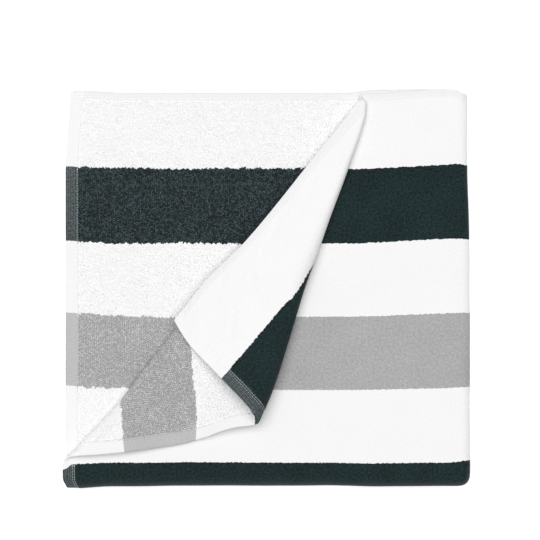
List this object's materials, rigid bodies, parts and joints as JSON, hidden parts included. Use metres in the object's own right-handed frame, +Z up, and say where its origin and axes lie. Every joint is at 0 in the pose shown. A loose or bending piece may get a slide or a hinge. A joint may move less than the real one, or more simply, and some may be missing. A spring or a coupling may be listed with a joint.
{
  "type": "beach towel",
  "caption": "Wide-striped beach towel, velour on one face and terry on the other, folded into a flat square with one corner turned back.",
  "frame": {"origin": "middle of the folded towel's footprint, on the surface that it lies on", "axes": "+X along the stripes towards the folded side edge, +Y towards the open side hems, +Z up, away from the surface"},
  "size_m": [0.4561, 0.448, 0.0808],
  "materials": {
    "cotton": "looped and sheared cotton pile, matte"
  },
  "bodies": {
    "root": {"towel": "cotton"}
  },
  "joints": []
}
